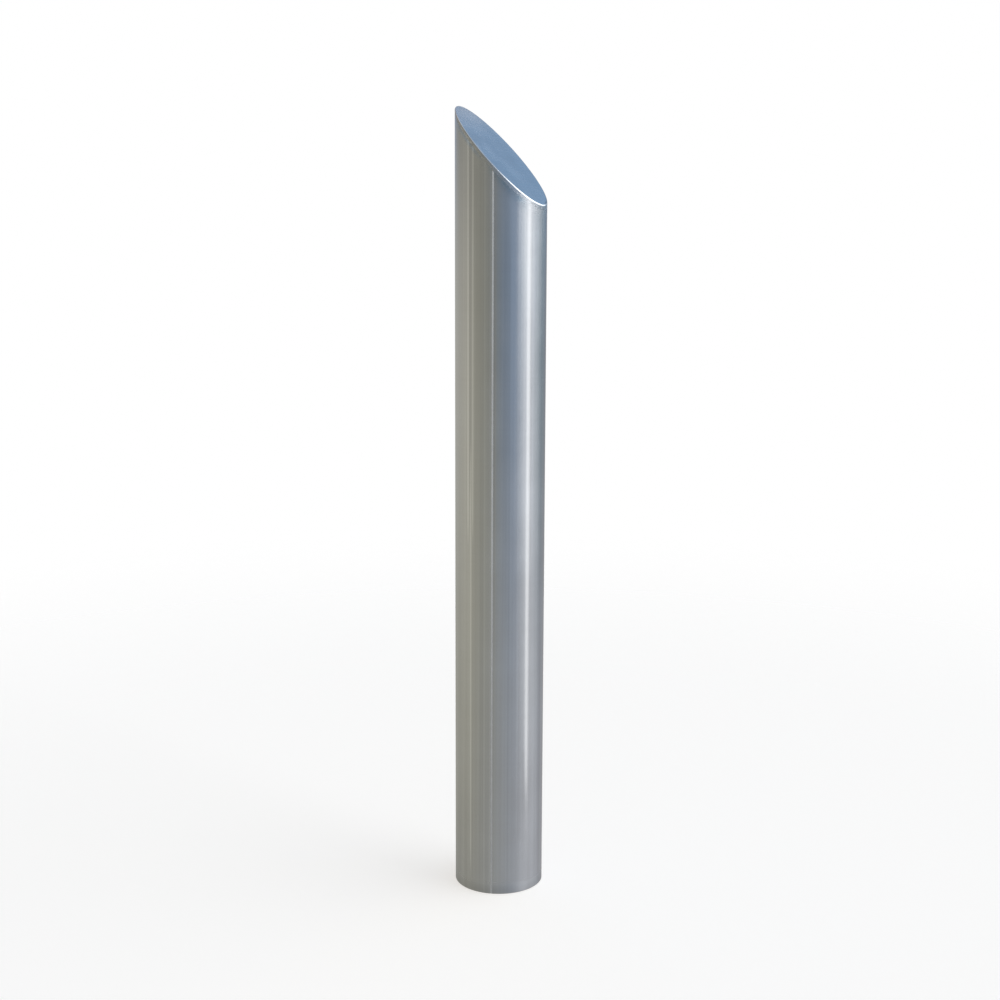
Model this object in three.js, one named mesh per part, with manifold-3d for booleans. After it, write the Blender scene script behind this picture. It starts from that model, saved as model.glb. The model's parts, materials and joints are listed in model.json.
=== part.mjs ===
// A steel safety bollard with a slanted top. A stainless post slips over a short core that is
// bolted to the ground, and two grub screws low on its back clamp it there.
//
// Millimetres, +Z up. The origin is on the post's axis in the ground plane, and the high side of
// the slanted top faces -X.

import * as THREE from 'three';
import { mergeVertices } from 'three/addons/utils/BufferGeometryUtils.js';
import Module from 'manifold-3d';

const wasm = await Module();
wasm.setup();

// Driving dimensions
const POST_DIAMETER = 114.3;
const POST_WALL = 3;
const HEIGHT = 1000; // on the high side
const SLANT = THREE.MathUtils.degToRad(47);
const PLATE_THICKNESS = 3;
const SEAM_AZIMUTH = THREE.MathUtils.degToRad(-75);
const SPIGOT_DIAMETER = 101.6;
const SPIGOT_WALL = 3.6;
const SPIGOT_TOP = 300;
const BASE_DIAMETER = 106;
const BASE_THICKNESS = 12;
const LOCK_SCREW_AZIMUTHS = [60, 150].map(THREE.MathUtils.degToRad);
const LOCK_SCREW_HEIGHT = 45;
const LOCK_THREAD = 8;
const ANCHOR_THREAD = 12;
const ANCHOR_CIRCLE = 62;
const ANCHOR_COUNT = 4;
const GAP = 0.3; // between pieces that touch

// Derived dimensions
const postRadius = POST_DIAMETER / 2;
const boreRadius = postRadius - POST_WALL;
const spigotRadius = SPIGOT_DIAMETER / 2;
const slope = Math.tan(SLANT);
const plateDrop = PLATE_THICKNESS / Math.cos(SLANT); // the plate's thickness along Z
const spigotFoot = BASE_THICKNESS + GAP;

// How finely round pieces are cut: the large rings and the small fasteners
const LARGE = 64;
const SMALL = 20;

const stainless = { color: 0x9a9fa3, roughness: 0.3, metalness: 1 };
const groundWeld = { color: 0xb9bec2, roughness: 0.4, metalness: 1 };
const galvanised = { color: 0x8d9294, roughness: 0.55, metalness: 1 };
const zincPlated = { color: 0xaeb1ad, roughness: 0.35, metalness: 1 };
const blackSteel = { color: 0x2b2c2e, roughness: 0.45, metalness: 1 };
const nylon = { color: 0xd9d7cf, roughness: 0.5, metalness: 0 };

const bollard = new THREE.Group();

function addMesh(name, geometry, finish, parent = bollard) {
  const mesh = new THREE.Mesh(geometry, new THREE.MeshStandardMaterial(finish));
  mesh.name = name;
  parent.add(mesh);
  return mesh;
}

// Turns an outline of [radius, z] points about the Z axis. The outline runs anticlockwise: outer
// wall upwards. It starts and ends on the axis, or closes on itself.
function turned(outline, segments = LARGE) {
  const points = outline.map(([radius, z]) => new THREE.Vector2(radius, z));
  return new THREE.LatheGeometry(points, segments).rotateX(Math.PI / 2);
}

function turnedRing(outline, segments) {
  return turned([...outline, outline[0]], segments);
}

// Slants the top of an upright piece: what was level at the high side's height now lies along the
// slanted top. Points below the middle of the post stay.
function slanted(geometry) {
  const place = geometry.attributes.position;
  for (let i = 0; i < place.count; i++) {
    if (place.getZ(i) > HEIGHT / 2) {
      place.setZ(i, place.getZ(i) - slope * (place.getX(i) + postRadius));
    }
  }
  return geometry;
}

function toSolid(geometry) {
  const bare = geometry.clone();
  bare.deleteAttribute('normal');
  bare.deleteAttribute('uv');
  const merged = mergeVertices(bare);
  return new wasm.Manifold(new wasm.Mesh({
    numProp: 3,
    vertProperties: new Float32Array(merged.attributes.position.array),
    triVerts: new Uint32Array(merged.index.array),
  }));
}

function cut(geometry, cutters) {
  const solid = cutters.reduce((left, cutter) => left.subtract(toSolid(cutter)), toSolid(geometry));
  const mesh = solid.getMesh();
  const result = new THREE.BufferGeometry();
  result.setAttribute('position', new THREE.BufferAttribute(mesh.vertProperties, 3));
  result.setIndex(new THREE.BufferAttribute(mesh.triVerts, 1));
  result.computeVertexNormals();
  return result;
}

// An upright cylinder or hexagon that stands on z = bottom
function upright(radius, bottom, height, sides = SMALL) {
  const geometry = new THREE.CylinderGeometry(radius, radius, height, sides);
  return geometry.rotateX(Math.PI / 2).translate(0, 0, bottom + height / 2);
}

function hexagonRadius(acrossFlats) {
  return acrossFlats / Math.sqrt(3);
}

// Turns an upright piece so that its +Z end points outwards at an azimuth, at the screws' height
function facingOut(geometry, azimuth) {
  return geometry.rotateY(Math.PI / 2).rotateZ(azimuth).translate(0, 0, LOCK_SCREW_HEIGHT);
}

function lockScrewHoles() {
  return LOCK_SCREW_AZIMUTHS.map((azimuth) =>
    facingOut(upright(LOCK_THREAD / 2, boreRadius - 10, 20), azimuth));
}

// The V groove between the plate and the tube, which the plate's weld fills. Depths are along Z,
// below the slanted top.
const grooveDepth = 2.2;
const grooveTop = plateDrop - grooveDepth - GAP / 2;
const grooveBottom = plateDrop + grooveDepth + GAP / 2;

function postTube() {
  const edge = 0.5;
  const outline = [
    [boreRadius + edge, 0],
    [postRadius - edge, 0],
    [postRadius, edge],
    [postRadius, HEIGHT - grooveBottom - GAP],
    [postRadius - grooveDepth, HEIGHT - plateDrop - GAP],
    [boreRadius, HEIGHT - plateDrop - GAP],
    [boreRadius, edge],
  ];
  return cut(slanted(turnedRing(outline)), [seamGroove(), ...lockScrewHoles()]);
}

const seamWidth = 2;
const seamDepth = 1.2;

function seamGroove() {
  const groove = new THREE.BoxGeometry(2 * (seamDepth + GAP), seamWidth + 2 * GAP, 3 * HEIGHT);
  return groove.translate(postRadius, 0, 0).rotateZ(SEAM_AZIMUTH);
}

function postSeamWeld() {
  const length = HEIGHT - grooveBottom - 2 * GAP;
  const seam = new THREE.BoxGeometry(seamDepth, seamWidth, length);
  const middle = cordRadius(postRadius) - seamDepth / 2;
  return slanted(seam.translate(middle, 0, length / 2).rotateZ(SEAM_AZIMUTH));
}

// The distance from the axis to the middle of a flat on a piece with LARGE sides
function cordRadius(radius) {
  return radius * Math.cos(Math.PI / LARGE);
}

function topPlate() {
  const outline = [
    [0, HEIGHT - plateDrop],
    [postRadius - grooveDepth, HEIGHT - plateDrop],
    [postRadius, HEIGHT - grooveTop],
    [postRadius, HEIGHT],
    [0, HEIGHT],
  ];
  return slanted(turned(outline));
}

function topPlateWeld() {
  const root = postRadius - grooveDepth + 2 * GAP;
  const outline = [
    [postRadius, HEIGHT - grooveBottom],
    [postRadius, HEIGHT - grooveTop - GAP],
    [root, HEIGHT - plateDrop - GAP / 2],
  ];
  return slanted(turnedRing(outline));
}

// Rings in the space between the post's bore and the spigot
const ringOuter = boreRadius - GAP;
const ringInner = spigotRadius + GAP;

function lockRing() {
  const half = 13;
  const bottom = LOCK_SCREW_HEIGHT - half;
  const top = LOCK_SCREW_HEIGHT + half;
  const outline = [[ringOuter, bottom], [ringOuter, top], [ringInner, top], [ringInner, bottom]];
  addMesh('lock_ring', cut(turnedRing(outline), lockScrewHoles()), stainless);

  const leg = 2;
  const weldTop = bottom - GAP;
  const fillet = [[ringOuter, weldTop - leg], [ringOuter, weldTop], [ringOuter - leg, weldTop]];
  addMesh('lock_ring_weld', turnedRing(fillet), groundWeld);
}

function guideRing() {
  const bottom = 262;
  const top = 287;
  const leadIn = 1;
  return turnedRing([
    [ringInner + leadIn, bottom],
    [ringOuter, bottom],
    [ringOuter, top],
    [ringInner, top],
    [ringInner, bottom + leadIn],
  ]);
}

// An M8 grub screw: hexagon socket outside, chamfered point against the spigot
function lockScrew(azimuth) {
  const radius = LOCK_THREAD / 2 - GAP;
  const point = spigotRadius + GAP;
  const head = postRadius - 0.4;
  const chamfer = 1.2;
  const socketDepth = 3;
  const body = turned([
    [0, point],
    [radius - chamfer, point],
    [radius, point + chamfer],
    [radius, head],
    [0, head],
  ], SMALL);
  const socket = upright(hexagonRadius(4), head - socketDepth, 2 * socketDepth, 6);
  return facingOut(cut(body, [socket]), azimuth);
}

function anchorPlaces() {
  return Array.from({ length: ANCHOR_COUNT }, (_, i) => {
    const azimuth = (2 * Math.PI * (i + 0.5)) / ANCHOR_COUNT;
    return [ANCHOR_CIRCLE / 2 * Math.cos(azimuth), ANCHOR_CIRCLE / 2 * Math.sin(azimuth)];
  });
}

function basePlate() {
  const radius = BASE_DIAMETER / 2;
  const edge = 1;
  const drainRadius = 10;
  const holeRadius = ANCHOR_THREAD / 2 + 1;
  const disc = turned([
    [0, 0],
    [radius, 0],
    [radius, BASE_THICKNESS - edge],
    [radius - edge, BASE_THICKNESS],
    [0, BASE_THICKNESS],
  ]);
  const through = 3 * BASE_THICKNESS;
  const holes = anchorPlaces().map(([x, y]) =>
    upright(holeRadius, -BASE_THICKNESS, through).translate(x, y, 0));
  return cut(disc, [upright(drainRadius, -BASE_THICKNESS, through), ...holes]);
}

function spigotTube() {
  const leadIn = 2;
  const inner = spigotRadius - SPIGOT_WALL;
  return turnedRing([
    [inner, spigotFoot],
    [spigotRadius, spigotFoot],
    [spigotRadius, SPIGOT_TOP - leadIn],
    [spigotRadius - leadIn, SPIGOT_TOP],
    [inner, SPIGOT_TOP],
  ]);
}

function spigotWeld() {
  const leg = 1.6;
  const inner = spigotRadius + GAP;
  return turnedRing([[inner, spigotFoot], [inner + leg, spigotFoot], [inner, spigotFoot + leg]]);
}

// Stud, nut and washer of one ground anchor. The stud is made down to the ground plane.
function anchor(number, x, y) {
  const studRadius = ANCHOR_THREAD / 2 - GAP;
  const washerThickness = 2.5;
  const nutHeight = 10;
  const nutFoot = spigotFoot + washerThickness + GAP;
  const studTop = nutFoot + nutHeight + 6;
  const chamfer = 1;

  const set = new THREE.Group();
  set.position.set(x, y, 0);
  bollard.add(set);

  const stud = turned([
    [0, 0],
    [studRadius, 0],
    [studRadius, studTop - chamfer],
    [studRadius - chamfer, studTop],
    [0, studTop],
  ], SMALL);
  addMesh(`anchor_stud_${number}`, stud, zincPlated, set);

  const washer = turnedRing([
    [ANCHOR_THREAD / 2 + 0.5, spigotFoot],
    [ANCHOR_THREAD, spigotFoot],
    [ANCHOR_THREAD, spigotFoot + washerThickness],
    [ANCHOR_THREAD / 2 + 0.5, spigotFoot + washerThickness],
  ], SMALL);
  addMesh(`anchor_washer_${number}`, washer, zincPlated, set);

  const hexagon = upright(hexagonRadius(19), nutFoot, nutHeight, 6);
  const bore = upright(ANCHOR_THREAD / 2, nutFoot - nutHeight, 3 * nutHeight);
  addMesh(`anchor_nut_${number}`, cut(hexagon, [bore]), zincPlated, set);
}

// The post, which lifts off
addMesh('post_tube', postTube(), stainless);
addMesh('post_seam_weld', postSeamWeld(), groundWeld);
addMesh('top_plate', topPlate(), stainless);
addMesh('top_plate_weld', topPlateWeld(), groundWeld);
lockRing();
addMesh('guide_ring', guideRing(), nylon);
LOCK_SCREW_AZIMUTHS.forEach((azimuth, i) =>
  addMesh(`lock_screw_${i + 1}`, lockScrew(azimuth), blackSteel));

// The core, which stays on the ground
addMesh('base_plate', basePlate(), galvanised);
addMesh('spigot_tube', spigotTube(), galvanised);
addMesh('spigot_weld', spigotWeld(), galvanised);
anchorPlaces().forEach(([x, y], i) => anchor(i + 1, x, y));

export default bollard;
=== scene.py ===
"""The looks of a steel safety bollard with a slanted top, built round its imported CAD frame.

Metres, +Z up, the same frame as the CAD. The post and the core that it slips over are made again
with round walls, rounded edges, threads and weld beads, each piece in its CAD node's place.
"""

import json
import math

import bmesh
import bpy
import numpy as np
from mathutils import Matrix, Vector


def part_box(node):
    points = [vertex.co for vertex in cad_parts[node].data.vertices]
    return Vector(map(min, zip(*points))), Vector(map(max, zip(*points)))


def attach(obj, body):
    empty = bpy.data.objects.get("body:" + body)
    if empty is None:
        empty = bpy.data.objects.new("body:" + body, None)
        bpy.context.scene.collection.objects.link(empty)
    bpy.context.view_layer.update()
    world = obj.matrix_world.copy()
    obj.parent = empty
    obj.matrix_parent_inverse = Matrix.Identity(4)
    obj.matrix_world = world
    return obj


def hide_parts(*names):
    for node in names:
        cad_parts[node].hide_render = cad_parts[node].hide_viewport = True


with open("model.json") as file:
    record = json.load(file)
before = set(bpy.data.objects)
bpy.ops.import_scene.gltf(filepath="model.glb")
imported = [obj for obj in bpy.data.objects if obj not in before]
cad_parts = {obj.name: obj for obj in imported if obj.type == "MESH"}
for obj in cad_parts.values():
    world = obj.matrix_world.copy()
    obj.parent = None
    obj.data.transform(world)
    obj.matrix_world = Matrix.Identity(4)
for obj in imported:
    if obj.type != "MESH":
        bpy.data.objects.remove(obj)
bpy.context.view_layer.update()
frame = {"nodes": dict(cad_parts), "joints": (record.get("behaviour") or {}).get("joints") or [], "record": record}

MM = 0.001

# The post
SLANT = math.radians(47)
WALL = 3 * MM
RIM_BAND = 2.2 * MM  # how far down the wall the rounded rim reaches from the slanted top
FOOT_RADIUS = 0.7 * MM
WELD_TOP = 3.3 * MM  # the plate's weld, measured down the wall from the slanted top
WELD_FOOT = 6.7 * MM
WELD_DEPTH = 2.2 * MM
PLATE_THICKNESS = 3 * MM
SEAM_AZIMUTH = math.radians(-75)
SEAM_WIDTH = 2.2 * MM
SEAM_DEPTH = 0.3 * MM
RING_CLEARANCE = 0.3 * MM  # between the post's two rings and the core

# The core and the fasteners
SPIGOT_WALL = 3.6 * MM
DRAIN_DIAMETER = 20 * MM
ANCHOR_THREAD = 12 * MM
ANCHOR_PITCH = 1.75 * MM
NUT_ACROSS_FLATS = 19 * MM
SCREW_THREAD = 8 * MM
SCREW_PITCH = 1.25 * MM
THREAD_CLEARANCE = 0.15 * MM
RIPPLE = 0.12 * MM  # how far the ripples of a weld bead as laid stand up
FLARE = 0.5 * MM  # how far the mouth of a drilled hole opens out

# How finely round pieces are cut
WIDE = 240
NARROW = 48

# The camera stands where the photograph was taken from, and looks down at the post
CAMERA_AZIMUTH = math.radians(24.81)
CAMERA_DISTANCE = 1.827
CAMERA_HEIGHT = 0.809
CAMERA_PITCH = math.radians(9.35)
CAMERA_ROLL = math.radians(0.21)
CAMERA_LENS = 52.16

# The strip lights: how tall they are and how high above the floor they start
STRIP_HEIGHT = 1.2
STRIP_FOOT = 0.035

# Taken from the frame
bodies = frame["record"]["behaviour"]["bodies"]
body_of = {node: body for body, nodes in bodies.items() for node in nodes}
screw_joints = [joint for joint in frame["joints"] if joint["name"].startswith("lock_screw")]
post_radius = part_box("post_tube")[1].x
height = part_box("top_plate")[1].z
lock_ring_low, lock_ring_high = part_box("lock_ring")
screw_height = (lock_ring_low.z + lock_ring_high.z) / 2
spigot_low, spigot_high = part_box("spigot_tube")
spigot_radius = spigot_high.x

# Worked out
bore_radius = post_radius - WALL
ring_inner = spigot_radius + RING_CLEARANCE
slope = math.tan(SLANT)
plate_normal = Vector((math.sin(SLANT), 0, math.cos(SLANT)))
plate_drop = PLATE_THICKNESS / math.cos(SLANT)  # the plate's thickness, straight down


def slanted_top(x):
    """The height of the slanted top's plane."""
    return height - slope * (x + post_radius)


# Meshes


def closed_up(mesh, nearest):
    """Joins the points of a mesh that lie nearer than this, fills its openings and turns its
    faces out."""
    work = bmesh.new()
    work.from_mesh(mesh)
    bmesh.ops.remove_doubles(work, verts=work.verts, dist=nearest)
    rims = [edge for edge in work.edges if edge.is_boundary]
    if rims:
        bmesh.ops.edgeloop_fill(work, edges=rims)
    bmesh.ops.recalc_face_normals(work, faces=work.faces)
    work.to_mesh(mesh)
    work.free()
    return mesh


def new_mesh(points, faces):
    mesh = bpy.data.meshes.new("piece")
    mesh.from_pydata(points, [], faces)
    return closed_up(mesh, 1e-4 * MM)


def ring_of(columns, closed=True):
    """Joins outlines that stand round an axis, each a list of points, into one mesh."""
    grid = np.array(columns)
    count, length = grid.shape[:2]
    faces = []
    for i in range(count):
        this, following = i * length, (i + 1) % count * length
        for j in range(length if closed else length - 1):
            k = (j + 1) % length
            faces.append((this + j, following + j, following + k, this + k))
    return new_mesh(grid.reshape(-1, 3).tolist(), faces)


def bar_of(outlines):
    """Joins closed outlines, one after the other, into a bar with flat ends."""
    grid = np.array(outlines)
    count, length = grid.shape[:2]
    faces = []
    for i in range(count - 1):
        this, following = i * length, (i + 1) * length
        for j in range(length):
            k = (j + 1) % length
            faces.append((this + j, this + k, following + k, following + j))
    faces.append(tuple(range(length)))
    faces.append(tuple(range((count - 1) * length, count * length)))
    return new_mesh(grid.reshape(-1, 3).tolist(), faces)


def at_angle(outline, angle):
    """An outline of (radius, height) points, stood at an angle round Z."""
    return [(radius * math.cos(angle), radius * math.sin(angle), z) for radius, z in outline]


def turned(outline, segments=WIDE, closed=True):
    """An outline turned about Z. If it isn't closed, both ends lie on the axis."""
    angles = np.linspace(0, 2 * math.pi, segments, endpoint=False)
    return ring_of([at_angle(outline, angle) for angle in angles], closed)


def rounded(outline, radii, steps=4):
    """The closed outline with its corners rounded. A corner of radius 0 stays sharp."""
    points = []
    count = len(outline)
    for i, (place, radius) in enumerate(zip(outline, radii)):
        corner = Vector(place)
        if radius == 0:
            points.append(tuple(corner))
            continue
        back = (Vector(outline[i - 1]) - corner).normalized()
        on = (Vector(outline[(i + 1) % count]) - corner).normalized()
        half = back.angle(on) / 2
        centre = corner + (back + on).normalized() * radius / math.sin(half)
        first = corner + back * radius / math.tan(half) - centre
        last = corner + on * radius / math.tan(half) - centre
        for step in range(steps + 1):
            arm = first.lerp(last, step / steps).normalized()
            points.append(tuple(centre + arm * radius))
    return points


def prism(across_flats, bottom, top):
    """An upright hexagonal prism."""
    reach = across_flats / math.sqrt(3)
    return turned([(0, bottom), (reach, bottom), (reach, top), (0, top)], 6, closed=False)


def threaded(major, pitch, bottom, top, chamfer):
    """A rod with a helical 60 degree thread and chamfered ends."""
    depth = 0.61 * pitch
    end_radius = major - chamfer
    # One turn's crest, flank, root and flank: where each starts, as a share of the pitch, and
    # how deep
    stages = [(0, 0), (0.125, 0), (0.4375, depth), (0.6875, depth)]
    turns = range(-1, math.ceil((top - bottom) / pitch) + 1)
    points, faces = [], []
    for i in range(NARROW):
        angle = 2 * math.pi * i / NARROW
        for turn in turns:
            for share, cut_depth in stages:
                z = bottom + (turn + share + i / NARROW) * pitch
                z = min(max(z, bottom), top)
                radius = min(major - cut_depth, end_radius + z - bottom, end_radius + top - z)
                points.append((radius * math.cos(angle), radius * math.sin(angle), z))
    rows = len(turns) * len(stages)
    for i in range(NARROW):
        shift = len(stages) if i == NARROW - 1 else 0
        this, following = i * rows, (i + 1) % NARROW * rows + shift
        for j in range(rows - 1 - shift):
            faces.append((this + j, following + j, following + j + 1, this + j + 1))
    return new_mesh(points, faces)


def bead(corner, first, last, ripples):
    """A fillet weld laid round an axis in a corner. Its face bulges from first to last, in ripples
    that curve across it, as each melted pool froze on the one before."""
    corner, first, last = Vector(corner), Vector(first), Vector(last)
    outward = ((first + last) / 2 - corner).normalized()
    bulge = 0.16 * (first - last).length
    bend = 0.8  # how far a ripple's middle runs ahead of its ends, in ripples
    per_ripple, across = 6, 8
    columns = []
    for i in range(ripples * per_ripple):
        outline = [corner]
        for step in range(across + 1):
            share = step / across
            crown = 4 * share * (1 - share)
            frozen = (i / per_ripple + bend * crown) % 1
            lift = crown * (bulge + RIPPLE * (1 - frozen) * frozen * 4)
            outline.append(first.lerp(last, share) + outward * lift)
        columns.append(at_angle(outline, 2 * math.pi * i / (ripples * per_ripple)))
    return ring_of(columns)


def cut(mesh, tools, operation="DIFFERENCE"):
    """The mesh less each tool's mesh, or what it shares with them. Points that this leaves closer
    than a few thousandths of a millimetre become one, so that no sliver stays."""
    objects = [bpy.data.objects.new("work", shape) for shape in (mesh, *tools)]
    for item in objects:
        bpy.context.scene.collection.objects.link(item)
    for tool in objects[1:]:
        modifier = objects[0].modifiers.new("cut", "BOOLEAN")
        modifier.operation = operation
        modifier.object = tool
        modifier.solver = "EXACT"
    graph = bpy.context.evaluated_depsgraph_get()
    result = bpy.data.meshes.new_from_object(objects[0].evaluated_get(graph))
    for item in objects:
        bpy.data.objects.remove(item)
    return closed_up(result, 4e-3 * MM)


def moved(mesh, matrix):
    """The same mesh, moved."""
    mesh.transform(matrix)
    return mesh


def facing(direction, place):
    """Turns +Z to a direction, at a place."""
    turn = Vector(direction).to_track_quat("Z", "Y").to_matrix().to_4x4()
    return Matrix.Translation(place) @ turn


def add_piece(node, mesh, material):
    """Puts a mesh in a CAD node's place, on its body and with its finish."""
    for polygon in mesh.polygons:
        polygon.use_smooth = True
    mesh.set_sharp_from_angle(angle=math.radians(35))
    mesh.materials.clear()
    mesh.materials.append(material)
    piece = bpy.data.objects.new(f"fine_{node}", mesh)
    bpy.context.scene.collection.objects.link(piece)
    weighted = piece.modifiers.new("flat faces stay flat", "WEIGHTED_NORMAL")
    weighted.keep_sharp = True
    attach(piece, body_of[node])
    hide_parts(node)


# Materials


class Nodes:
    """Makes and joins a node tree's nodes."""

    def __init__(self, tree):
        self.tree = tree
        tree.nodes.clear()

    def show(self, kind, shader):
        """Makes the tree's output and gives it a shader."""
        output = self.tree.nodes.new(f"ShaderNodeOutput{kind}")
        self.tree.links.new(shader, output.inputs["Surface"])

    def add(self, kind, inputs, output=0, **settings):
        """A node with its settings and inputs, each a number, colour or another's output."""
        made = self.tree.nodes.new(f"ShaderNode{kind}")
        for name, value in settings.items():
            setattr(made, name, value)
        for key, value in inputs.items():
            if isinstance(value, bpy.types.NodeSocket):
                self.tree.links.new(value, made.inputs[key])
            else:
                made.inputs[key].default_value = value
        return made.outputs[output]

    def math(self, operation, first, second=0.0):
        return self.add("Math", {0: first, 1: second}, operation=operation)

    def parts(self, vector):
        """A vector's x, y and z."""
        made = self.tree.nodes.new("ShaderNodeSeparateXYZ")
        self.tree.links.new(vector, made.inputs[0])
        return tuple(made.outputs)

    def noise(self, vector, per_metre, detail, roughness):
        """Noise that changes so many times a metre along each axis."""
        squeezed = self.add("Mapping", {"Vector": vector, "Scale": per_metre})
        inputs = {"Vector": squeezed, "Scale": 1.0, "Detail": detail, "Roughness": roughness}
        return self.add("TexNoise", inputs)

    def sum(self, first, *rest):
        for value in rest:
            first = self.math("ADD", first, value)
        return first

    def product(self, first, *rest):
        for value in rest:
            first = self.math("MULTIPLY", first, value)
        return first

    def weighted(self, *parts):
        """The sum of (value, share) parts."""
        return self.sum(*[self.product(value, share) for value, share in parts])

    def band(self, value, middle, half, edge):
        """1 within half of the middle, and 0 an edge's width beyond."""
        away = self.math("ABSOLUTE", self.math("SUBTRACT", value, middle))
        return self.span(away, half, half + edge, 1, 0)

    def span(self, value, low, high, to_low, to_high, kind="SMOOTHSTEP"):
        """Carries a value from one range to another and holds it there."""
        inputs = {"Value": value, "From Min": low, "From Max": high}
        inputs |= {"To Min": to_low, "To Max": to_high}
        return self.add("MapRange", inputs, interpolation_type=kind)

    def ramp(self, value, stops, kind="LINEAR"):
        """A colour that follows a value through (place, colour) stops."""
        made = self.tree.nodes.new("ShaderNodeValToRGB")
        made.color_ramp.interpolation = kind
        elements = made.color_ramp.elements
        for i, (place, colour) in enumerate(stops):
            element = elements[i] if i < len(elements) else elements.new(place)
            element.position = place
            element.color = (*colour, 1)
        self.tree.links.new(value, made.inputs["Fac"])
        return made.outputs["Color"]

    def mix(self, share, first, last, kind="MIX"):
        """From one colour to another, by a share."""
        inputs = {0: share, 6: first, 7: last}
        return self.add("Mix", inputs, output=2, data_type="RGBA", blend_type=kind)

    def tinted(self, colour, tint, share=None):
        """A colour times another, wholly or by a share."""
        tinted = self.mix(1.0, colour, tint, "MULTIPLY")
        return tinted if share is None else self.mix(share, colour, tinted)

    def grey_of(self, value):
        return self.add("CombineColor", {0: value, 1: value, 2: value})

    def bump(self, height_value, distance, normal=None):
        inputs = {"Height": height_value, "Distance": distance, "Strength": 1.0}
        if normal:
            inputs["Normal"] = normal
        return self.add("Bump", inputs)


def grey(value):
    return (value, value, value, 1)


def new_material(name):
    """A material and what makes its nodes, with the piece's own coordinates in metres."""
    material = bpy.data.materials.new(name)
    material.use_nodes = True
    nodes = Nodes(material.node_tree)
    place = nodes.add("TexCoord", {}, output="Object")
    return material, nodes, place


def surface(nodes, colour, roughness, normal, **more):
    inputs = {"Base Color": colour, "Roughness": roughness, "Normal": normal, **more}
    nodes.show("Material", nodes.add("BsdfPrincipled", inputs))


def round_axis(nodes, place):
    """The angle round the post's axis in degrees, the distance from it and the height."""
    x, y, z = nodes.parts(place)
    angle = nodes.product(nodes.math("ARCTAN2", y, x), 180 / math.pi)
    radius = nodes.math("SQRT", nodes.weighted((x, x), (y, y)))
    return angle, radius, z


def lathe_axes(nodes, place):
    """Coordinates along which a lathe's marks run: they change with the distance from the axis and
    the height, and hardly round the axis."""
    angle, radius, z = round_axis(nodes, place)
    return nodes.add("CombineXYZ", {0: radius, 1: z, 2: nodes.product(angle, 0.00002)})


def depth_below_top(nodes, place):
    """How far a point lies under the slanted top, straight down."""
    x, _, z = nodes.parts(place)
    top = nodes.sum(nodes.product(x, -slope), slanted_top(0))
    return nodes.math("SUBTRACT", top, z)


# Lines along the tube, lighter and darker: degrees from the seam, half width in degrees, from and to
# what height in metres, and how much lighter or darker the steel is there
LINES_ALONG_TUBE = [
    (-34.6, 0.9, 0.50, 1.0, 0.36),
    (-30.8, 1.6, 0.55, 1.0, -0.12),
    (-26.6, 0.9, 0.50, 1.0, 0.34),
    (-30.0, 1.5, 0.06, 0.55, 0.22),
    (-15.5, 1.6, 0.02, 1.0, -0.04),
    (-10.0, 1.4, 0.02, 1.0, 0.08),
    (-2.4, 1.6, 0.0, 1.0, 0.06),
    (2.6, 0.9, 0.0, 1.0, -0.04),
    (21.0, 1.2, 0.0, 0.8, -0.05),
    (33.0, 1.5, 0.1, 1.0, 0.06),
    (128.0, 1.0, 0.0, 1.0, 0.12),
    (171.0, 1.6, 0.2, 1.0, -0.10),
    (-112.0, 0.8, 0.0, 0.7, 0.14),
]


def lines_along_tube(nodes, from_seam, z):
    """How much lighter or darker the lines along the tube make its steel."""
    marks = []
    for offset, half, low, high, strength in LINES_ALONG_TUBE:
        across = nodes.band(from_seam, offset, half * 0.4, half * 0.9)
        along = nodes.band(z, (low + high) / 2, (high - low) / 2, 0.05)
        marks.append(nodes.product(across, along, strength))
    return nodes.sum(*marks)


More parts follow.
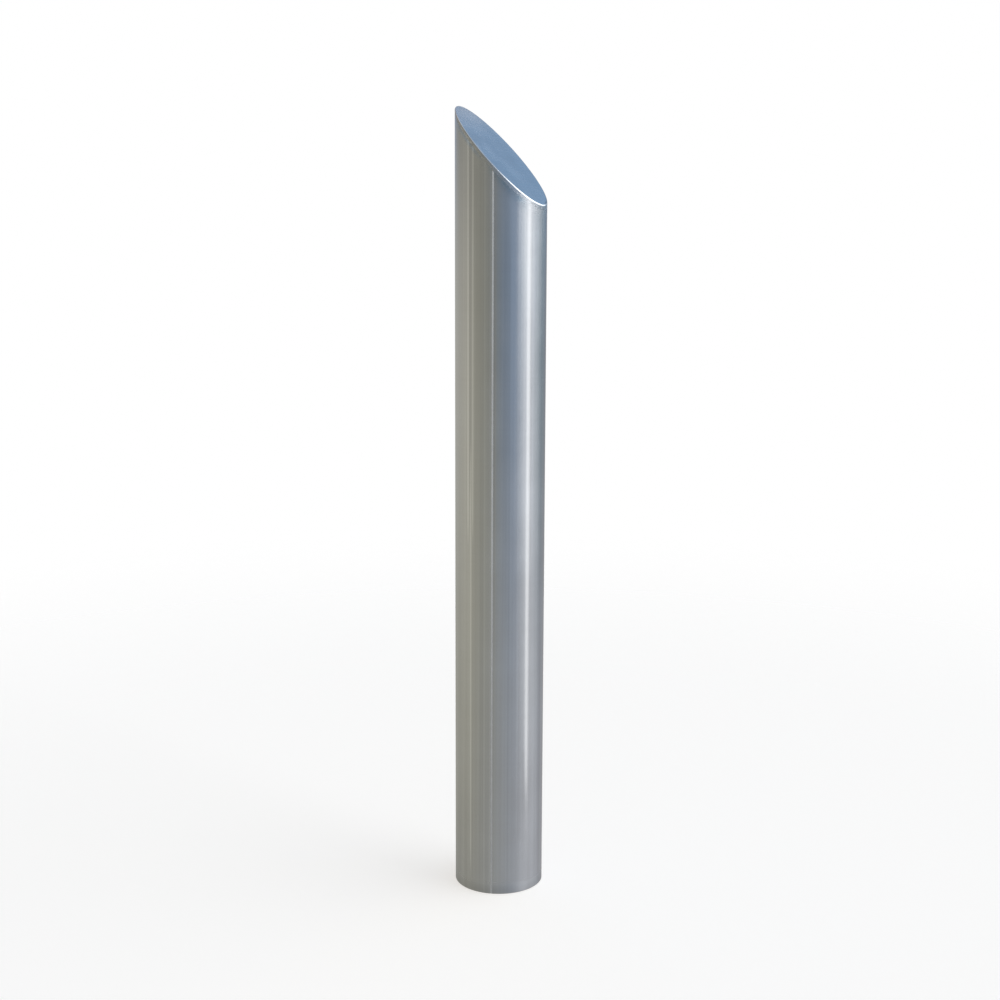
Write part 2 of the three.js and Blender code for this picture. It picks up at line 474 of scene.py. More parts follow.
def post_steel():
    """Satin stainless tube. Its grain runs round the tube and spreads what it mirrors up and down.
    Under the slanted top, where the weld was dressed by hand, it is uneven, with dabs of painted dark
    reflection and a painted teal reflection beside the seam."""
    material, nodes, place = new_material("satin_tube")
    angle, _, z = round_axis(nodes, place)
    depth = depth_below_top(nodes, place)
    # Degrees from the seam, which run from -130 to 230, so that no mark crosses the jump
    from_seam = nodes.math("SUBTRACT", angle, math.degrees(SEAM_AZIMUTH))
    from_seam = nodes.add("Math", {0: from_seam, 1: 230.0, 2: -130.0}, operation="WRAP")
    hairs = nodes.noise(place, (16, 16, 5200), 3, 0.6)
    lines = nodes.noise(place, (10, 10, 900), 3, 0.6)
    bands = nodes.noise(place, (120, 120, 1.1), 2, 0.55)
    fine_bands = nodes.noise(place, (420, 420, 2.2), 2, 0.5)
    waves = nodes.noise(place, (70, 70, 1.6), 1, 0.4)
    cloud = nodes.noise(place, (16, 16, 11), 3, 0.55)
    dressed = nodes.span(depth, 0.006, 0.024, 1, 0)
    dabs = nodes.noise(place, (95, 95, 150), 3, 0.6)

    tone = nodes.weighted((bands, 0.4), (fine_bands, 0.15), (lines, 0.1), (cloud, 0.35))
    colour = nodes.ramp(tone, [
        (0.32, (0.54, 0.54, 0.54)),
        (0.5, (0.61, 0.612, 0.615)),
        (0.68, (0.68, 0.685, 0.69)),
    ])
    marks = nodes.sum(lines_along_tube(nodes, from_seam, z), 1.0)
    # Dabs of painted dark reflection in the dressed band under the slanted top
    painted_dark_reflection = nodes.span(dabs, 0.42, 0.7, 1, 0.88)
    painted_dark_reflection = nodes.add("Mix", {0: dressed, 2: 1.0, 3: painted_dark_reflection}, data_type="FLOAT")
    # Darker towards the foot, unevenly
    darker_towards_foot = nodes.span(nodes.sum(z, nodes.product(cloud, 0.012)), 0.008, 0.022, 0.86, 1)
    colour = nodes.tinted(colour, nodes.grey_of(nodes.product(marks, painted_dark_reflection, darker_towards_foot)))

    # Painted dark teal reflection beside the seam under the slanted top, and a blue tint towards the tip
    heat = nodes.product(
        nodes.span(depth, 0.005, 0.022, 1, 0),
        nodes.band(from_seam, 19, 16, 14),
        nodes.span(dabs, 0.3, 0.6, 1, 0.5),
    )
    colour = nodes.tinted(colour, (0.62, 0.76, 0.84, 1), heat)
    blue_towards_tip = nodes.product(
        nodes.span(depth, 0.004, 0.016, 0.8, 0),
        nodes.band(from_seam, -62, 34, 18),
    )
    colour = nodes.tinted(colour, (0.74, 0.92, 1.18, 1), blue_towards_tip)

    roughness = nodes.sum(
        nodes.span(hairs, 0.3, 0.7, 0.205, 0.235),
        nodes.span(cloud, 0.35, 0.65, 0, 0.03),
        nodes.product(dressed, nodes.span(dabs, 0.35, 0.65, 0.01, 0.06)),
        nodes.span(z, 0.006, 0.02, 0.08, 0),
    )
    normal = nodes.bump(waves, 0.12 * MM)
    normal = nodes.bump(bands, 0.03 * MM, normal)
    normal = nodes.bump(nodes.product(dressed, dabs), 0.16 * MM, normal)
    normal = nodes.bump(hairs, 0.0005 * MM, normal)
    grain = {
        "Anisotropic": 0.75,
        "Anisotropic Rotation": 0.25,
        "Tangent": nodes.add("Tangent", {}, direction_type="RADIAL", axis="Z"),
    }
    surface(nodes, colour, roughness, normal, Metallic=1.0, **grain)
    return material


def plate_steel():
    """The slanted top: satin plate ground across the slope, finer than the tube."""
    material, nodes, place = new_material("satin_plate")
    x, y, _ = nodes.parts(place)
    _, radius, _ = round_axis(nodes, place)
    hairs = nodes.noise(place, (3600, 22, 3600), 2, 0.6)
    lines = nodes.noise(place, (700, 8, 700), 3, 0.6)
    cloud = nodes.noise(place, (26, 26, 26), 3, 0.55)
    painted_reflection_near_tip = nodes.span(x, -0.058, -0.022, 1, 0)
    # Painted shade: a dark line just inside the rim, on the +Y side only
    painted_shade_far_rim = nodes.product(
        nodes.band(radius, post_radius - 0.95 * MM, 0.6 * MM, 0.5 * MM),
        nodes.span(y, 0.0, 0.015, 0, 0.85),
    )

    colour = nodes.ramp(nodes.weighted((lines, 0.35), (cloud, 0.65)), [
        (0.34, (0.57, 0.57, 0.57)),
        (0.5, (0.62, 0.622, 0.625)),
        (0.66, (0.66, 0.665, 0.67)),
    ])
    # Painted warm reflection, lighter towards the tip
    colour = nodes.tinted(colour, (1.25, 1.08, 0.97, 1), painted_reflection_near_tip)
    colour = nodes.mix(painted_shade_far_rim, colour, (0.26, 0.24, 0.23, 1))
    roughness = nodes.sum(
        nodes.span(hairs, 0.3, 0.7, 0.18, 0.26),
        nodes.span(cloud, 0.35, 0.65, 0, 0.04),
    )
    normal = nodes.bump(cloud, 0.25 * MM)
    normal = nodes.bump(lines, 0.006 * MM, normal)
    normal = nodes.bump(hairs, 0.0015 * MM, normal)
    surface(nodes, colour, roughness, normal, Metallic=1.0)
    return material


def ground_weld():
    """A stainless weld ground flush, with short scratches across it. The seam down the tube is brighter
    than the tube, less so towards the foot: partly its own lighter finish, partly a painted highlight.
    The weld round the plate is like the tube."""
    material, nodes, place = new_material("ground_weld")
    _, _, z = nodes.parts(place)
    scratches = nodes.noise(place, (900, 900, 5200), 3, 0.6)
    patches = nodes.noise(place, (60, 60, 90), 3, 0.6)
    dabs = nodes.noise(place, (95, 95, 150), 3, 0.6)
    on_rim = nodes.span(depth_below_top(nodes, place), 0.0072, 0.0082, 1, 0)

    # The seam's colour: its lighter finish and a painted highlight, fading towards the foot
    seam = nodes.ramp(patches, [(0.35, (0.90, 0.88, 0.86)), (0.65, (0.98, 0.96, 0.94))])
    seam = nodes.tinted(seam, nodes.grey_of(nodes.span(z, 0.0, 0.52, 0.77, 1, "LINEAR")))
    rim = nodes.ramp(patches, [(0.35, (0.53, 0.535, 0.54)), (0.65, (0.64, 0.645, 0.65))])
    metallic = nodes.math("MAXIMUM", on_rim, nodes.span(z, 0.45, 0.8, 0.55, 0.42))
    roughness = nodes.sum(nodes.span(scratches, 0.3, 0.7, 0.38, 0.50), nodes.product(on_rim, -0.18))
    normal = nodes.bump(dabs, 0.5 * MM)
    normal = nodes.bump(scratches, 0.008 * MM, normal)
    surface(nodes, nodes.mix(on_rim, seam, rim), roughness, normal, Metallic=metallic)
    return material


def turned_steel():
    """Stainless as it came off the lathe: fine marks round the axis, on the faces too."""
    material, nodes, place = new_material("turned_steel")
    rings = lathe_axes(nodes, place)
    marks = nodes.noise(rings, (4200, 4200, 400), 2, 0.6)
    wide = nodes.noise(rings, (700, 700, 100), 2, 0.5)
    stain = nodes.noise(place, (45, 45, 45), 4, 0.6)

    colour = nodes.ramp(stain, [
        (0.35, (0.43, 0.43, 0.42)),
        (0.55, (0.53, 0.535, 0.54)),
        (0.75, (0.58, 0.585, 0.59)),
    ])
    roughness = nodes.sum(
        nodes.span(marks, 0.3, 0.7, 0.24, 0.36),
        nodes.span(stain, 0.4, 0.7, 0.05, 0),
    )
    normal = nodes.bump(wide, 0.02 * MM)
    normal = nodes.bump(marks, 0.012 * MM, normal)
    surface(nodes, colour, roughness, normal, Metallic=1.0)
    return material


def raw_weld():
    """A bead as it was laid, with straw and blue heat tints and specks of scale."""
    material, nodes, place = new_material("raw_weld")
    heat = nodes.noise(place, (70, 70, 260), 3, 0.6)
    specks = nodes.noise(place, (1500, 1500, 1500), 3, 0.65)
    scale = nodes.span(specks, 0.58, 0.66, 0, 0.8)

    colour = nodes.ramp(heat, [
        (0.32, (0.22, 0.24, 0.33)),
        (0.42, (0.30, 0.27, 0.33)),
        (0.5, (0.42, 0.34, 0.22)),
        (0.6, (0.46, 0.42, 0.34)),
        (0.72, (0.45, 0.44, 0.43)),
    ])
    colour = nodes.mix(scale, colour, (0.07, 0.065, 0.06, 1))
    roughness = nodes.sum(nodes.span(heat, 0.3, 0.7, 0.30, 0.42), nodes.product(scale, 0.3))
    surface(nodes, colour, roughness, nodes.bump(specks, 0.04 * MM), Metallic=1.0)
    return material


def nylon():
    """Natural nylon, turned: cream, a little uneven, with fine tool marks and scuffs."""
    material, nodes, place = new_material("nylon")
    marks = nodes.noise(lathe_axes(nodes, place), (2600, 2600, 200), 2, 0.5)
    cloud = nodes.noise(place, (60, 60, 60), 3, 0.55)
    scuffs = nodes.span(nodes.noise(place, (260, 260, 40), 4, 0.65), 0.56, 0.68, 0, 0.5)

    colour = nodes.ramp(cloud, [(0.35, (0.76, 0.73, 0.63)), (0.65, (0.86, 0.84, 0.77))])
    colour = nodes.mix(scuffs, colour, (0.55, 0.54, 0.5, 1))
    roughness = nodes.sum(nodes.span(marks, 0.3, 0.7, 0.38, 0.5), nodes.product(scuffs, 0.25))
    surface(nodes, colour, roughness, nodes.bump(marks, 0.03 * MM), IOR=1.53)
    return material


def black_oxide():
    """Blackened alloy steel, oily in places and worn to grey where tools and threads rub."""
    material, nodes, place = new_material("black_oxide")
    patches = nodes.noise(place, (420, 420, 420), 4, 0.6)
    grain = nodes.noise(place, (6000, 6000, 6000), 2, 0.6)
    on_edges = nodes.add("NewGeometry", {}, output="Pointiness")
    worn = nodes.product(
        nodes.span(on_edges, 0.53, 0.62, 0, 0.75),
        nodes.span(patches, 0.35, 0.6, 0.3, 1),
    )

    colour = nodes.ramp(patches, [(0.35, (0.035, 0.035, 0.04)), (0.65, (0.075, 0.073, 0.075))])
    colour = nodes.mix(worn, colour, (0.32, 0.31, 0.30, 1))
    roughness = nodes.sum(
        nodes.span(patches, 0.35, 0.65, 0.28, 0.42),
        nodes.span(grain, 0.3, 0.7, 0, 0.08),
    )
    surface(nodes, colour, roughness, nodes.bump(grain, 0.006 * MM), Metallic=1.0)
    return material


def galvanised():
    """Hot-dip zinc: crystals of many greys, each with its own shine, and the bath's slight runs."""
    material, nodes, place = new_material("galvanised")
    bend = nodes.add("TexNoise", {"Vector": place, "Scale": 260.0, "Detail": 2.0}, output="Color")
    bend = nodes.add("VectorMath", {0: bend, 1: (2.2 * MM,) * 3}, operation="MULTIPLY")
    bent = nodes.add("VectorMath", {0: place, 1: bend}, operation="ADD")
    crystal = nodes.add("TexVoronoi", {"Vector": bent, "Scale": 125.0}, output="Color")
    small = nodes.add("TexVoronoi", {"Vector": bent, "Scale": 420.0}, output="Color")
    lean, shine, _ = nodes.parts(crystal)
    flake, _, _ = nodes.parts(small)
    frost = nodes.noise(place, (1600, 1600, 1600), 3, 0.6)
    runs = nodes.noise(place, (55, 55, 12), 3, 0.5)
    dulled = nodes.span(runs, 0.5, 0.72, 0, 0.45)

    colour = nodes.ramp(nodes.weighted((lean, 0.42), (flake, 0.2), (frost, 0.38)), [
        (0.15, (0.40, 0.42, 0.44)),
        (0.5, (0.51, 0.53, 0.545)),
        (0.85, (0.63, 0.65, 0.66)),
    ])
    colour = nodes.mix(dulled, colour, (0.55, 0.56, 0.56, 1))
    roughness = nodes.sum(
        nodes.product(shine, 0.16),
        nodes.span(frost, 0.3, 0.7, 0.28, 0.36),
        nodes.product(dulled, 0.3),
    )
    normal = nodes.bump(runs, 0.6 * MM)
    normal = nodes.bump(nodes.sum(lean, flake), 0.02 * MM, normal)
    normal = nodes.bump(frost, 0.02 * MM, normal)
    surface(nodes, colour, roughness, normal, Metallic=1.0)
    return material


def zinc_plate():
    """Bright zinc plating with a faint blue and straw bloom and small scratches."""
    material, nodes, place = new_material("zinc_plate")
    bloom = nodes.noise(place, (130, 130, 130), 3, 0.6)
    scratches = nodes.noise(place, (5200, 700, 3000), 3, 0.65)

    colour = nodes.ramp(bloom, [
        (0.32, (0.55, 0.60, 0.68)),
        (0.45, (0.63, 0.65, 0.67)),
        (0.55, (0.66, 0.66, 0.64)),
        (0.68, (0.68, 0.63, 0.50)),
    ])
    roughness = nodes.sum(
        nodes.span(scratches, 0.3, 0.7, 0.18, 0.30),
        nodes.span(bloom, 0.4, 0.7, 0, 0.08),
    )
    normal = nodes.bump(bloom, 0.06 * MM)
    normal = nodes.bump(scratches, 0.006 * MM, normal)
    surface(nodes, colour, roughness, normal, Metallic=1.0)
    return material


# The post


def around_seam():
    """The angles of the post tube's wall, each with its depth: the seam's groove is sunk in it."""
    half = SEAM_WIDTH / 2 / post_radius
    step = 2 * math.pi / WIDE
    angles = []
    for i in range(WIDE):
        from_seam = (i * step - SEAM_AZIMUTH + math.pi) % (2 * math.pi) - math.pi
        if abs(from_seam) > half + step / 3:
            angles.append((i * step, 0))
    edge = 0.02 * half
    groove = [
        (-half - edge, 0),
        (-half, SEAM_DEPTH),
        (0, SEAM_DEPTH),
        (half, SEAM_DEPTH),
        (half + edge, 0),
    ]
    seam = SEAM_AZIMUTH % (2 * math.pi)
    angles += [(seam + offset, depth) for offset, depth in groove]
    return sorted(angles)


def screw_hole(joint):
    """The cutter for one grub screw's hole, which opens out at the post's face."""
    radius = SCREW_THREAD / 2
    inner_end = bore_radius - 12 * MM
    outer_end = post_radius + 2 * FLARE
    outline = [
        (0, inner_end),
        (radius, inner_end),
        (radius, post_radius - FLARE),
        (radius + 3 * FLARE, outer_end),
        (0, outer_end),
    ]
    cutter = turned(outline, NARROW, closed=False)
    return moved(cutter, facing(joint["axis"], (0, 0, screw_height)))


def post_tube():
    """The tube, slanted at the top to take the plate and its weld, with the screws' holes."""
    weld_root = post_radius - WELD_DEPTH
    columns = []
    for angle, depth in around_seam():
        outer = post_radius - depth
        above = 0.1  # only leads the corners' sides up, and is dropped
        foot = rounded(
            [(bore_radius, above), (bore_radius, 0), (outer, 0), (outer, above)],
            [0, FOOT_RADIUS, FOOT_RADIUS, 0],
            6,
        )[1:-1]
        lean = math.cos(angle)
        outline = foot + [
            (outer, slanted_top(post_radius * lean) - WELD_FOOT - 0.05 * MM),
            (weld_root, slanted_top(weld_root * lean) - plate_drop - 0.6 * MM),
            (bore_radius, slanted_top(bore_radius * lean) - plate_drop - 0.3 * MM),
        ]
        columns.append(at_angle(outline, angle))
    return cut(ring_of(columns), [screw_hole(joint) for joint in screw_joints])


def post_seam_weld():
    """The tube's seam, ground flush: a shallow strip, very slightly crowned."""
    half = (SEAM_WIDTH / 2 - 0.04 * MM) / post_radius
    face = post_radius - 0.02 * MM
    root = post_radius - SEAM_DEPTH + 0.03 * MM
    crown = 0.05 * MM
    low = 0.75 * MM
    rows, across = 220, 8
    sides = [2 * j / across - 1 for j in range(across + 1)]
    section = [(side, face + crown * (1 - side * side)) for side in sides]
    section += [(1, root), (-1, root)]
    outlines = []
    for i in range(rows + 1):
        outline = []
        for side, radius in section:
            angle = SEAM_AZIMUTH + half * side
            top = slanted_top(post_radius * math.cos(angle)) - WELD_FOOT - 0.1 * MM
            z = low + (top - low) * i / rows
            outline.append((radius * math.cos(angle), radius * math.sin(angle), z))
        outlines.append(outline)
    return bar_of(outlines)


def top_plate():
    """The plate that closes the slanted top. All the way round, its rim is rounded down to one
    depth."""
    arc_steps, rings = 10, 6
    middle_of_top = Vector((0, 0, slanted_top(0)))
    columns = []
    for i in range(WIDE):
        angle = 2 * math.pi * i / WIDE
        out = Vector((math.cos(angle), math.sin(angle), 0))
        rim = RIM_BAND / (1 / math.cos(SLANT) - slope * out.x)
        middle = out * (post_radius - rim)
        middle.z = slanted_top(middle.x) - rim / math.cos(SLANT)
        turns = [plate_normal.slerp(out, step / arc_steps) for step in range(arc_steps + 1)]
        arc = [middle + rim * turn for turn in turns]
        face = [middle_of_top.lerp(arc[0], ring / rings) for ring in range(rings)]
        edge = out * post_radius
        edge.z = slanted_top(edge.x) - WELD_TOP + 0.05 * MM
        root = out * (post_radius - WELD_DEPTH)
        root.z = slanted_top(root.x) - plate_drop
        underside = Vector((0, 0, slanted_top(0) - plate_drop))
        columns.append([*face, *arc, edge, root, underside])
    return ring_of(columns, closed=False)


def top_plate_weld():
    """The plate's weld, ground flush with the wall but not quite even."""
    steps = 6
    columns = []
    for i in range(WIDE):
        angle = 2 * math.pi * i / WIDE
        out = Vector((math.cos(angle), math.sin(angle), 0))
        column = []
        for step in range(steps + 1):
            share = step / steps
            wave = math.sin(23 * angle + 2 * share) + math.sin(41 * angle + 5 * share)
            wave += math.sin(9 * angle)
            place = out * (post_radius - 0.012 * MM * (1 + wave * 4 * share * (1 - share) / 3))
            place.z = slanted_top(post_radius * out.x) - WELD_FOOT + (WELD_FOOT - WELD_TOP) * share
            column.append(place)
        root = out * (post_radius - WELD_DEPTH + 0.3 * MM)
        root.z = slanted_top(root.x) - (WELD_FOOT + WELD_TOP) / 2
        column.append(root)
        columns.append(column)
    return ring_of(columns)


def ring_sizes(node, inner):
    """A ring's outline from its CAD box and inner radius."""
    low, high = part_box(node)
    return [(inner, low.z), (high.x, low.z), (high.x, high.z), (inner, high.z)]


def lock_ring():
    outline = rounded(ring_sizes("lock_ring", ring_inner), [0.6 * MM] * 4)
    return cut(turned(outline), [screw_hole(joint) for joint in screw_joints])


def lock_ring_weld():
    low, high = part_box("lock_ring_weld")
    leg = high.z - low.z
    top = lock_ring_low.z - 0.02 * MM
    return bead((high.x, top), (high.x, top - leg), (high.x - leg, top), 190)


def guide_ring():
    outline = ring_sizes("guide_ring", ring_inner)
    return turned(rounded(outline, [1.2 * MM, 0.4 * MM, 0.4 * MM, 0.5 * MM]))


def lock_screw(joint):
    """An M8 grub screw with a hexagon socket and a cup point. Its point stops short of the core by
    the same clearance as the rings."""
    point = ring_inner
    head = post_radius - 0.4 * MM
    body = threaded(SCREW_THREAD / 2 - THREAD_CLEARANCE, SCREW_PITCH, point, head, 0.9 * MM)
    socket = prism(4 * MM, head - 3 * MM, head + 1 * MM)
    over, under = head + 0.1 * MM, head - 0.5 * MM
    mouth = [(0, under), (1.9 * MM, under), (2.5 * MM, over), (0, over)]
    outside = point - 0.1 * MM
    cup = [(0, outside), (1.9 * MM, outside), (0, point + 1.2 * MM)]
    tools = [socket, *[turned(outline, NARROW, closed=False) for outline in (mouth, cup)]]
    return moved(cut(body, tools), facing(joint["axis"], (0, 0, screw_height)))


# The core


def anchors():
    """The places of the anchors, by number."""
    places = {}
    for node in sorted(frame["nodes"]):
        if node.startswith("anchor_nut"):
            low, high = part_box(node)
            places[node.rsplit("_", 1)[1]] = (low + high) / 2
    return places


def flared_hole(radius, bottom, top, flare):
    """The cutter for an upright hole that opens out at both faces."""
    outline = [
        (0, bottom - flare),
        (radius + 2 * flare, bottom - flare),
        (radius, bottom + flare),
        (radius, top - flare),
        (radius + 2 * flare, top + flare),
        (0, top + flare),
    ]
    return turned(outline, NARROW, closed=False)


def base_plate():
    """A disc with a drain hole in the middle and four holes for the anchors."""
    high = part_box("base_plate")[1]
    edge = 0.9 * MM
    outline = rounded([(0, 0), (high.x, 0), (high.x, high.z), (0, high.z)], [0, edge, edge, 0])
    disc = turned(outline, closed=False)
    tools = [flared_hole(DRAIN_DIAMETER / 2, 0, high.z, FLARE)]
    for place in anchors().values():
        hole = flared_hole(ANCHOR_THREAD / 2 + 1 * MM, 0, high.z, FLARE)
        tools.append(moved(hole, Matrix.Translation((place.x, place.y, 0))))
    return cut(disc, tools)


def spigot_tube():
    inner = spigot_radius - SPIGOT_WALL
    lead_in = 2 * MM
    outline = [
        (inner, spigot_low.z),
        (spigot_radius, spigot_low.z),
        (spigot_radius, spigot_high.z - lead_in),
        (spigot_radius - lead_in, spigot_high.z),
        (inner, spigot_high.z),
    ]
    return turned(rounded(outline, [0, 0, 0.8 * MM, 0.5 * MM, 0.3 * MM]))


def spigot_weld():
    low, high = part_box("spigot_weld")
    toe = spigot_radius + high.z - low.z
    return bead((spigot_radius, low.z), (toe, low.z), (spigot_radius, high.z), 170)


def anchor_stud(node, place):
    low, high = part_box(node)
    radius = ANCHOR_THREAD / 2 - THREAD_CLEARANCE
    stud = threaded(radius, ANCHOR_PITCH, low.z, high.z, 1.1 * MM)
    return moved(stud, Matrix.Translation((place.x, place.y, 0)))


def anchor_washer(node, place):
    low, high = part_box(node)
    inner, outer = ANCHOR_THREAD / 2 + 0.5 * MM, ANCHOR_THREAD
    outline = [(inner, low.z), (outer, low.z), (outer, high.z), (inner, high.z)]
    washer = turned(rounded(outline, [0.25 * MM, 0.3 * MM, 0.6 * MM, 0.4 * MM]), 2 * NARROW)
    return moved(washer, Matrix.Translation((place.x, place.y, 0)))


def anchor_nut(node, place):
    """A hexagon nut, chamfered at 30 degrees on both faces."""
    low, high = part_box(node)
    across = NUT_ACROSS_FLATS
    flat = across / 2 * 0.96  # how far out the flat face goes before the chamfer
    outer = across / math.sqrt(3) + 1 * MM
    drop = (outer - flat) * math.tan(math.radians(30))
    outline = [
        (0, low.z),
        (flat, low.z),
        (outer, low.z + drop),
        (outer, high.z - drop),
        (flat, high.z),
        (0, high.z),
    ]
    barrel = turned(outline, 2 * NARROW, closed=False)
    hexagon = prism(across, low.z - 1 * MM, high.z + 1 * MM)
    through = flared_hole(ANCHOR_THREAD / 2, low.z, high.z, 0.8 * MM)
    nut = cut(cut(barrel, [hexagon], "INTERSECT"), [through])
    return moved(nut, Matrix.Translation((place.x, place.y, 0)))


def build_post():
    weld, blackened = ground_weld(), black_oxide()
    add_piece("post_tube", post_tube(), post_steel())
    add_piece("post_seam_weld", post_seam_weld(), weld)
    add_piece("top_plate", top_plate(), plate_steel())
    add_piece("top_plate_weld", top_plate_weld(), weld)
    add_piece("lock_ring", lock_ring(), turned_steel())
    add_piece("lock_ring_weld", lock_ring_weld(), raw_weld())
    add_piece("guide_ring", guide_ring(), nylon())
    for joint in screw_joints:
        (node,) = bodies[joint["child"]]
        add_piece(node, lock_screw(joint), blackened)


def build_core():
    coating, plated = galvanised(), zinc_plate()
    add_piece("base_plate", base_plate(), coating)
    add_piece("spigot_tube", spigot_tube(), coating)
    add_piece("spigot_weld", spigot_weld(), coating)
    for number, place in anchors().items():
        for make, name in ((anchor_stud, "stud"), (anchor_washer, "washer"), (anchor_nut, "nut")):
            node = f"anchor_{name}_{number}"
            add_piece(node, make(node, place), plated)


# The studio


def camera():
    data = bpy.data.cameras.new("camera")
    data.lens = CAMERA_LENS
    data.sensor_width = 36
    data.clip_start, data.clip_end = 0.05, 50
    eye = bpy.data.objects.new("camera", data)
    bpy.context.scene.collection.objects.link(eye)
    eye.location = (
        CAMERA_DISTANCE * math.sin(CAMERA_AZIMUTH),
        -CAMERA_DISTANCE * math.cos(CAMERA_AZIMUTH),
        CAMERA_HEIGHT,
    )
    turn = Matrix.Rotation(CAMERA_AZIMUTH, 4, "Z")
    pitch = Matrix.Rotation(math.pi / 2 - CAMERA_PITCH, 4, "X")
    roll = Matrix.Rotation(CAMERA_ROLL, 4, "Z")
    eye.rotation_euler = (turn @ pitch @ roll).to_euler()
    bpy.context.scene.camera = eye


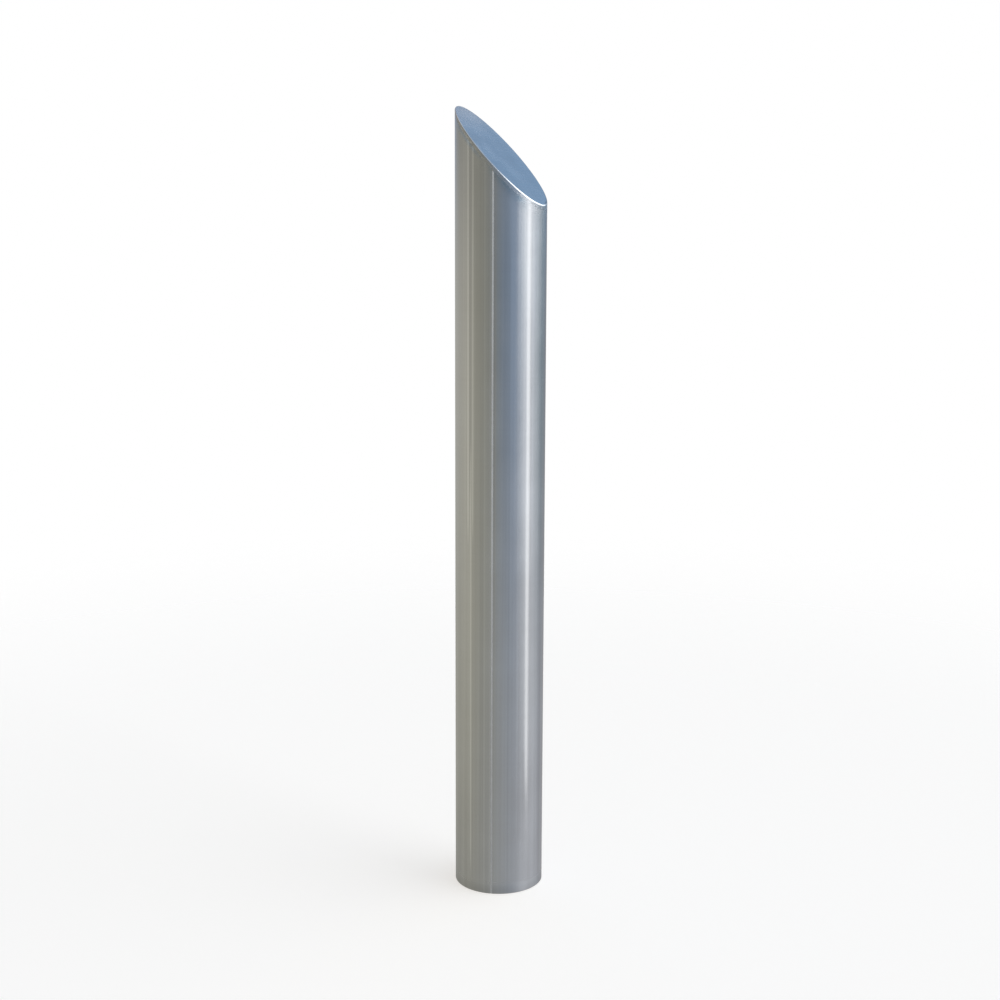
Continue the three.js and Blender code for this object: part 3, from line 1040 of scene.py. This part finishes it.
def surroundings():
    """What the steel mirrors: warm grey on the left, slate in front, a bright window on the right,
    and blue above. Directions are in degrees from the camera's side, and positive to its right.
    The camera itself sees plain white."""
    world = bpy.data.worlds.new("studio")
    bpy.context.scene.world = world
    world.use_nodes = True
    nodes = Nodes(world.node_tree)
    direction = nodes.add("TexCoord", {}, output="Generated")
    turn = {"Vector": direction, "Angle": -CAMERA_AZIMUTH}
    x, y, z = nodes.parts(nodes.add("VectorRotate", turn, rotation_type="Z_AXIS"))
    angle = nodes.math("ARCTAN2", x, nodes.product(y, -1.0))
    whole_turn = nodes.sum(nodes.math("DIVIDE", angle, 2 * math.pi), 0.5)

    def by_angle(stops):
        places = [((degrees + 180) / 360, colour) for degrees, colour in stops]
        return nodes.ramp(whole_turn, places, "EASE")

    horizon = by_angle([
        (-180, (0.42, 0.42, 0.40)),
        (-140, (0.54, 0.53, 0.48)),
        (-90, (0.62, 0.60, 0.52)),
        (-60, (0.42, 0.41, 0.34)),
        (-35, (0.34, 0.34, 0.29)),
        (-16, (0.31, 0.31, 0.28)),
        (-8, (0.22, 0.26, 0.29)),
        (10, (0.19, 0.26, 0.36)),
        (28, (0.27, 0.37, 0.52)),
        (38, (0.27, 0.37, 0.53)),
        (47, (0.36, 0.44, 0.56)),
        (57, (0.62, 0.69, 0.79)),
        (67, (0.94, 0.99, 1.08)),
        (80, (0.72, 0.75, 0.80)),
        (90, (0.72, 0.77, 0.84)),
        (102, (0.52, 0.58, 0.64)),
        (124, (0.25, 0.32, 0.36)),
        (155, (0.26, 0.28, 0.31)),
        (180, (0.42, 0.42, 0.40)),
    ])
    ground = by_angle([
        (-180, (0.40, 0.40, 0.36)),
        (-90, (0.49, 0.48, 0.40)),
        (-40, (0.42, 0.42, 0.375)),
        (0, (0.42, 0.425, 0.415)),
        (28, (0.425, 0.435, 0.445)),
        (48, (0.425, 0.435, 0.455)),
        (66, (0.44, 0.45, 0.47)),
        (92, (0.62, 0.64, 0.68)),
        (106, (0.58, 0.60, 0.64)),
        (124, (0.42, 0.43, 0.47)),
        (180, (0.40, 0.40, 0.40)),
    ])
    near = by_angle([
        (-180, (0.28, 0.28, 0.27)),
        (-90, (0.34, 0.34, 0.32)),
        (0, (0.43, 0.44, 0.44)),
        (90, (0.50, 0.51, 0.55)),
        (180, (0.40, 0.40, 0.40)),
    ])
    sky = by_angle([
        (-180, (0.36, 0.44, 0.60)),
        (-120, (0.26, 0.26, 0.24)),
        (-50, (0.25, 0.25, 0.23)),
        (0, (0.26, 0.31, 0.38)),
        (30, (0.32, 0.41, 0.54)),
        (48, (0.45, 0.52, 0.63)),
        (70, (0.92, 0.97, 1.04)),
        (110, (0.52, 0.60, 0.70)),
        (145, (0.26, 0.45, 0.70)),
        (156, (0.25, 0.41, 0.63)),
        (166, (0.30, 0.38, 0.54)),
        (180, (0.36, 0.42, 0.52)),
    ])
    seen = nodes.mix(nodes.span(z, -0.42, -0.36, 0, 1), near, ground)
    seen = nodes.mix(nodes.span(z, -0.30, -0.06, 0, 1), seen, horizon)
    seen = nodes.mix(nodes.span(z, -0.02, 0.14, 0, 1), seen, sky)
    seen = nodes.mix(nodes.span(z, 0.75, 0.95, 0, 1), seen, (0.7, 0.77, 0.86, 1))

    # A window on the right, lower towards the back
    degrees = nodes.product(angle, 180 / math.pi)
    lift = nodes.product(nodes.math("ARCSINE", z), 180 / math.pi)
    fall = nodes.span(degrees, 90, 150, 0, 34, "LINEAR")
    window = nodes.product(
        nodes.span(nodes.sum(lift, fall), 43, 47, 1, 0),
        nodes.span(lift, 9, 13, 0, 1),
        nodes.span(degrees, 42, 52, 0, 1),
        nodes.span(degrees, 148, 156, 1, 0),
    )
    seen = nodes.mix(window, seen, (2.6, 2.75, 2.9, 1))
    is_camera = nodes.add("LightPath", {}, output="Is Camera Ray")
    seen = nodes.mix(is_camera, seen, grey(1.0))
    nodes.show("World", nodes.add("Background", {"Color": seen, "Strength": 1.0}))


def strip_light(name, azimuth, distance, width, power):
    """A tall strip that stands just above the floor and faces the post. Only what is shiny shows
    it."""
    data = bpy.data.lights.new(name, "AREA")
    data.shape = "RECTANGLE"
    data.size, data.size_y = width, STRIP_HEIGHT
    data.energy = power
    lamp = bpy.data.objects.new(name, data)
    bpy.context.scene.collection.objects.link(lamp)
    around = math.radians(azimuth) + CAMERA_AZIMUTH
    out = Vector((math.sin(around), -math.cos(around), 0))
    lamp.location = out * distance + Vector((0, 0, STRIP_FOOT + STRIP_HEIGHT / 2))
    lamp.rotation_euler = (math.pi / 2, 0, around)
    lamp.visible_camera = False
    lamp.visible_diffuse = False


def floor():
    """A pale floor that fades into the white behind it."""
    half = 12
    low = -0.2 * MM  # just under the object, so that the two never share a plane
    corners = [(-half, -half, low), (half, -half, low), (half, half, low), (-half, half, low)]
    mesh = bpy.data.meshes.new("floor")
    mesh.from_pydata(corners, [], [(0, 1, 2, 3)])
    ground = bpy.data.objects.new("floor", mesh)
    bpy.context.scene.collection.objects.link(ground)
    material, nodes, place = new_material("pale_floor")
    away = nodes.add("VectorMath", {0: place}, output="Value", operation="LENGTH")
    matte = nodes.add("BsdfDiffuse", {"Color": grey(0.5)})
    glow = nodes.add("Emission", {"Color": (0.63, 0.60, 0.56, 1), "Strength": 1.0})
    both = nodes.add("AddShader", {0: matte, 1: glow})
    clear = nodes.add("BsdfTransparent", {})
    faded = nodes.span(away, 0.7, 2.5, 0, 1)
    nodes.show("Material", nodes.add("MixShader", {0: faded, 1: both, 2: clear}))
    material.cycles.emission_sampling = "NONE"
    mesh.materials.append(material)
    ground.visible_glossy = False
    ground.visible_diffuse = False


def studio():
    bpy.context.scene.view_settings.view_transform = "Standard"
    surroundings()
    strip_light("right_strip", azimuth=69.5, distance=0.33, width=0.055, power=0.126)
    strip_light("back_strip", azimuth=174, distance=0.6, width=0.12, power=0.4)
    floor()


camera()
build_post()
build_core()
studio()
